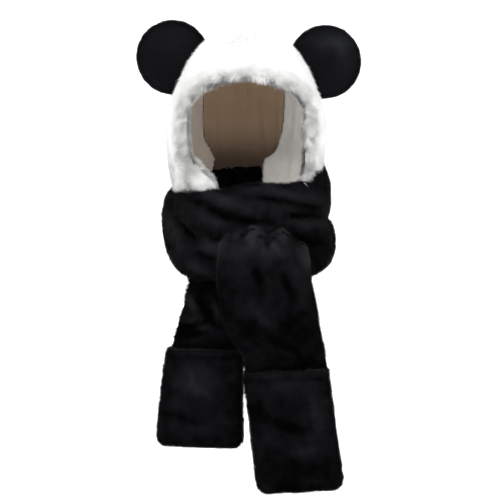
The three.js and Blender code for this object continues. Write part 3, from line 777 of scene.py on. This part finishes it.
def shared_group(name):
    if name not in bpy.data.node_groups:
        {"ClothTone": cloth_tone, "NapHeight": nap_height}[name]()
    return bpy.data.node_groups[name]


def painted_nape_shade(material, colour, nape_shade):
    """Paints shade down the inside of the back: turns a colour into the nape's darker one over
    NAPE_SHADE's heights.
    """
    nodes, link = material.node_tree.nodes, material.node_tree.links.new
    place = nodes.new("ShaderNodeTexCoord")
    parts = nodes.new("ShaderNodeSeparateXYZ")
    down = nodes.new("ShaderNodeMapRange")
    down.interpolation_type = "SMOOTHSTEP"
    down.inputs["From Min"].default_value = NAPE_SHADE["from"]
    down.inputs["From Max"].default_value = NAPE_SHADE["to"]
    blend = nodes.new("ShaderNodeMix")
    blend.data_type = "RGBA"
    blend.inputs["B"].default_value = (*nape_shade, 1)
    link(place.outputs["Object"], parts.inputs["Vector"])
    link(parts.outputs["Z"], down.inputs["Value"])
    link(down.outputs["Result"], blend.inputs["Factor"])
    link(colour, blend.inputs["A"])
    return blend.outputs["Result"]


def reading(nodes, name):
    """A node that reads one of the numbers kept on a mesh's points."""
    read = nodes.new("ShaderNodeAttribute")
    read.attribute_name = name
    return read.outputs["Fac"]


def weighed(nodes, link, parts):
    """The sum of some values, each times its weight."""
    total = None
    for value, weight in parts:
        step = nodes.new("ShaderNodeMath")
        step.operation = "MULTIPLY_ADD"
        step.inputs[1].default_value = weight
        step.inputs[2].default_value = 0.0
        link(value, step.inputs[0])
        if total:
            link(total, step.inputs[2])
        total = step.outputs["Value"]
    return total


def cloth(name, look, kind="plain", bump=0.0, nap=500.0, nape_shade=None):
    """A matt napped cloth whose colour runs between two tones.

    look holds the light and dark tones, the sheen and the gloss. A plain cloth follows its own
    patches alone, a backing also the painted light and shade kept on its points, and a pile also
    its tufts' tips, which are painted a little lighter than their roots as painted shade."""
    material = bpy.data.materials.new(name)
    material.use_nodes = True
    nodes, link = material.node_tree.nodes, material.node_tree.links.new
    shader = nodes["Principled BSDF"]
    shader.inputs["Roughness"].default_value = 0.88
    shader.inputs["Specular IOR Level"].default_value = look["gloss"]
    shader.inputs["Sheen Weight"].default_value = look["sheen"]
    shader.inputs["Sheen Roughness"].default_value = 0.4
    tone = nodes.new("ShaderNodeGroup")
    tone.node_tree = shared_group("ClothTone")
    spread = nodes.new("ShaderNodeMapRange")
    spread.inputs["From Min"].default_value = 0.3
    spread.inputs["From Max"].default_value = 0.7
    link(tone.outputs["Tone"], spread.inputs["Value"])
    parts = {
        "plain": [(spread.outputs["Result"], 1.0)],
        "backing": [(spread.outputs["Result"], 0.06)],
        "pile": [(spread.outputs["Result"], 0.08)],
    }[kind]
    if kind != "plain":
        # The painted light and shade kept on the mesh's points
        parts.append((reading(nodes, "light"), 1.0))
    if kind == "pile":
        # Tips a little lighter than roots: painted shade towards the roots
        parts.append((reading(nodes, "tip"), 0.06))
    mix = nodes.new("ShaderNodeMix")
    mix.data_type = "RGBA"
    mix.inputs["A"].default_value = (*look["dark"], 1)
    mix.inputs["B"].default_value = (*look["light"], 1)
    link(weighed(nodes, link, parts), mix.inputs["Factor"])
    colour = mix.outputs["Result"]
    if nape_shade:
        colour = painted_nape_shade(material, colour, nape_shade)
    link(colour, shader.inputs["Base Color"])
    if bump:
        height = nodes.new("ShaderNodeGroup")
        height.node_tree = shared_group("NapHeight")
        height.inputs["Scale"].default_value = nap
        raised = nodes.new("ShaderNodeBump")
        raised.inputs["Strength"].default_value = bump
        raised.inputs["Distance"].default_value = 0.001
        link(height.outputs["Height"], raised.inputs["Height"])
        link(raised.outputs["Normal"], shader.inputs["Normal"])
    return material


def plush_piece(node, look, count, seed, rise, form=None, tufts=None, change=None):
    """A node's backing and the pile that stands on it, with this count of tufts.

    look is the cloth's and rise its wrinkles' height. form and tufts hold what differs from the
    usual backing and pile, and change alters what the pile follows."""
    size = sizes()
    form = {"grid": size.grid, "sink": size.sink, "rise": rise, "seed": seed, **(form or {})}
    tufts = {"length": size.pile, "width": size.strand, "seed": seed, **(tufts or {})}
    base, points, quads, follow = backing(node, f"{node}_cloth", **form)
    if change:
        change(points, point_normals(points, quads), follow)
    mark(base.data, "light", follow["light"])
    paint(base, cloth(f"{node}_backing", look, "backing", bump=0.6, nap=420.0))
    settle(base, node)
    stood = pile(f"{node}_pile", points, quads, follow, count, **tufts)
    paint(stood, cloth(f"{node}_plush", look, "pile"))
    settle(stood, node)


def black_look(tone):
    """The look of the black plush, nearly without sheen, painted from its shade tone up to one of its two
    lit tones.
    """
    return {"light": tone, "dark": colours().black_shade, "sheen": 0.02, "gloss": 0.01}


class HAT_OT_hood(bpy.types.Operator):
    """The white plush hood"""

    bl_idname = "hat.hood"
    bl_label = "Plush hood"

    def execute(self, context):
        colour, size = colours(), sizes()
        look = {"light": colour.white, "dark": colour.white_shade, "sheen": 0.1, "gloss": 0.15}
        plush_piece(
            "hood_shell",
            look,
            count=168000,
            seed=11,
            rise=0.0006,
            form={"rounds": 8, "fill": 60, "hollow": hood_hollow, "sink": 0.0008},
            tufts={"way": away_from_crown, "length": 1.1 * size.pile, "lean": 1.15},
            change=hood_pile,
        )
        return {"FINISHED"}


class HAT_OT_lining(bpy.types.Operator):
    """The fleece lining: a tan panel at the back and a pale facing on each side"""

    bl_idname = "hat.lining"
    bl_label = "Hood lining"

    def execute(self, context):
        colour, size = colours(), sizes()
        # Each panel's slot, its tone, its painted shade at the nape, and the flat size and area of its
        # cloth
        panels = {
            "back_lining": ("tan_fleece", colour.tan, colour.tan_nape_shade, (0.24, 0.30), 0.0523),
            # The left facing is the same pale fleece as the right one, in painted shade
            "cheek_lining_left": ("pale_facing", colour.pale_shade, None, (0.15, 0.26), 0.026),
            "cheek_lining_right": ("pale_facing", colour.pale, None, (0.16, 0.27), 0.0293),
        }
        for number, (node, (slot, tone, nape_shade, flat, area)) in enumerate(panels.items()):
            points, quads = remeshed(node, size.lining_grid)
            points = smoothed(points, quads, 3)
            normals = point_normals(points, quads)
            points = points + normals * fold_relief(node, points, normals)[:, None]
            made = make_mesh(f"{node}_fleece", points, quads)
            dark = tuple(LINING_NAP["dark"] * part for part in tone)
            look = {"light": tone, "dark": dark, "sheen": 0.1, "gloss": 0.15}
            paint(made, cloth(f"{node}_weave", look, bump=0.5, nap=700.0, nape_shade=nape_shade))
            settle(made, node)
            every = np.ones(len(points))
            follow = {
                "cover": every,
                "light": LINING_NAP["light"] * every,
                "unrest": LINING_NAP["unrest"] * every,
                "length": every,
            }
            count = int(LINING_NAP["tufts"] * area)
            width = LINING_NAP["width"] * size.strand
            nap = pile(f"{node}_nap", points, quads, follow, count, size.fleece, width, seed=91 + number)
            paint(nap, cloth(f"{node}_pile", look, "pile", nape_shade=nape_shade))
            settle(nap, node)
        return {"FINISHED"}


class HAT_OT_ears(bpy.types.Operator):
    """The two round black ears"""

    bl_idname = "hat.ears"
    bl_label = "Plush ears"

    def execute(self, context):
        size = sizes()
        look = black_look(colours().ear)
        for number, node in enumerate(("ear_left", "ear_right")):
            plush_piece(
                node,
                look,
                count=38000,
                seed=31 + number,
                rise=0.0008,
                form={"grid": 0.003, "sink": 0.0020},
                tufts={"length": 0.55 * size.pile, "width": 0.75 * size.strand},
                change=ear_pile,
            )
        return {"FINISHED"}


class HAT_OT_scarf(bpy.types.Operator):
    """The black plush scarf, wound round the neck"""

    bl_idname = "hat.scarf"
    bl_label = "Plush scarf"

    def execute(self, context):
        look = black_look(colours().black)
        hollows = {"scarf_left_arm": {"fill": 50, "hollow": dome_hollow}, "scarf_right_arm": None}
        for number, (node, form) in enumerate(hollows.items()):
            plush_piece(
                node,
                look,
                count=132000,
                seed=51 + number,
                rise=0.0020,
                form=form,
                change=scarf_pile,
            )
        return {"FINISHED"}


class HAT_OT_pockets(bpy.types.Operator):
    """The pockets on the scarf's ends"""

    bl_idname = "hat.pockets"
    bl_label = "Pockets"

    def execute(self, context):
        look = black_look(colours().black)
        form = {"grid": 0.0032}
        for number, node in enumerate(("pocket_left", "pocket_right")):
            plush_piece(node, look, count=48000, seed=71 + number, rise=0.0015, form=form)
        return {"FINISHED"}


def sweep(inner, outer, floor, top, turns, steps):
    """A round floor that curves up into a wall all the way round."""
    radius = outer - inner
    profile = [(0.0, floor), (inner, floor)]
    for k in range(1, steps + 1):
        angle = math.pi / 2 * k / steps
        profile.append((inner + radius * math.sin(angle), floor + radius * (1 - math.cos(angle))))
    profile.append((outer, top))
    ways = [(math.cos(2 * math.pi * k / turns), math.sin(2 * math.pi * k / turns)) for k in range(turns)]
    points = np.array([(r * x, r * y, z) for r, z in profile for x, y in ways])
    faces = [
        (low + k, low + turns + k, low + turns + (k + 1) % turns, low + (k + 1) % turns)
        for low in range(0, (len(profile) - 1) * turns, turns)
        for k in range(turns)
    ]
    return make_mesh("pale_sweep", points, np.array(faces))


def area_light(name, given):
    """A round soft light from a row of LIGHTS."""
    data = bpy.data.lights.new(name, "AREA")
    data.shape = "DISK"
    data.size = given["size"]
    data.energy = given["power"]
    light = bpy.data.objects.new(name, data)
    light.location = given["at"]
    ahead = Vector(given["aim"]) - Vector(given["at"])
    light.rotation_euler = ahead.to_track_quat("-Z", "Y").to_euler()
    bpy.context.scene.collection.objects.link(light)


class HAT_OT_stage(bpy.types.Operator):
    """The pale floor and sweep, the soft lights and the camera"""

    bl_idname = "hat.stage"
    bl_label = "Floor, lights and camera"

    def execute(self, context):
        scene = context.scene
        below = CAD_BOX[0].z - 0.04
        floor = sweep(inner=3.6, outer=5.2, floor=below, top=5.0, turns=64, steps=10)
        material = bpy.data.materials.new("pale_paper")
        material.use_nodes = True
        shader = material.node_tree.nodes["Principled BSDF"]
        shader.inputs["Base Color"].default_value = (0.93, 0.93, 0.93, 1)
        shader.inputs["Roughness"].default_value = 0.9
        shader.inputs["Specular IOR Level"].default_value = 0.1
        shader.inputs["Emission Color"].default_value = (1, 1, 1, 1)
        seen = material.node_tree.nodes.new("ShaderNodeLightPath")
        glow = material.node_tree.nodes.new("ShaderNodeMapRange")
        glow.inputs["To Min"].default_value = 0.22
        glow.inputs["To Max"].default_value = 0.62
        material.node_tree.links.new(seen.outputs["Is Camera Ray"], glow.inputs["Value"])
        material.node_tree.links.new(glow.outputs["Result"], shader.inputs["Emission Strength"])
        paint(floor, material)
        world = bpy.data.worlds.new("soft_light")
        world.use_nodes = True
        back = world.node_tree.nodes["Background"]
        back.inputs["Color"].default_value = (1, 1, 1, 1)
        back.inputs["Strength"].default_value = 0.6
        scene.world = world
        for name, light in LIGHTS.items():
            area_light(name, light)
        camera = bpy.data.objects.new("camera", bpy.data.cameras.new("camera"))
        scene.collection.objects.link(camera)
        camera.location = (MIDDLE[0], MIDDLE[1] - CAMERA["distance"], MIDDLE[2])
        camera.rotation_euler = (math.pi / 2, 0, 0)
        camera.data.sensor_width = CAMERA["sensor"]
        camera.data.sensor_fit = "HORIZONTAL"
        camera.data.lens = CAMERA["sensor"] * CAMERA["distance"] / CAMERA["width"]
        camera.data.clip_end = 50
        scene.camera = camera
        scene.view_settings.view_transform = "Standard"
        return {"FINISHED"}


class HAT_PT_panel(bpy.types.Panel):
    """Lists the hooded scarf's pieces, sizes and colours"""

    bl_idname = "HAT_PT_panel"
    bl_label = "Hooded scarf"
    bl_space_type = "VIEW_3D"
    bl_region_type = "UI"
    bl_category = "Hooded scarf"

    def draw(self, context):
        for group in (context.scene.hat_sizes, context.scene.hat_colours):
            for name in group.__annotations__:
                self.layout.prop(group, name)
        for step in STEPS:
            self.layout.operator(step.bl_idname)


STEPS = (HAT_OT_stage, HAT_OT_hood, HAT_OT_lining, HAT_OT_ears, HAT_OT_scarf, HAT_OT_pockets)
CLASSES = (PlushSizes, HatColours, *STEPS, HAT_PT_panel)


def register():
    for one in CLASSES:
        bpy.utils.register_class(one)
    bpy.types.Scene.hat_sizes = bpy.props.PointerProperty(type=PlushSizes)
    bpy.types.Scene.hat_colours = bpy.props.PointerProperty(type=HatColours)


def unregister():
    del bpy.types.Scene.hat_colours
    del bpy.types.Scene.hat_sizes
    for one in reversed(CLASSES):
        bpy.utils.unregister_class(one)


def main():
    register()
    bpy.ops.hat.stage()
    bpy.ops.hat.hood()
    bpy.ops.hat.lining()
    bpy.ops.hat.ears()
    bpy.ops.hat.scarf()
    bpy.ops.hat.pockets()


if __name__ == "__main__":
    main()
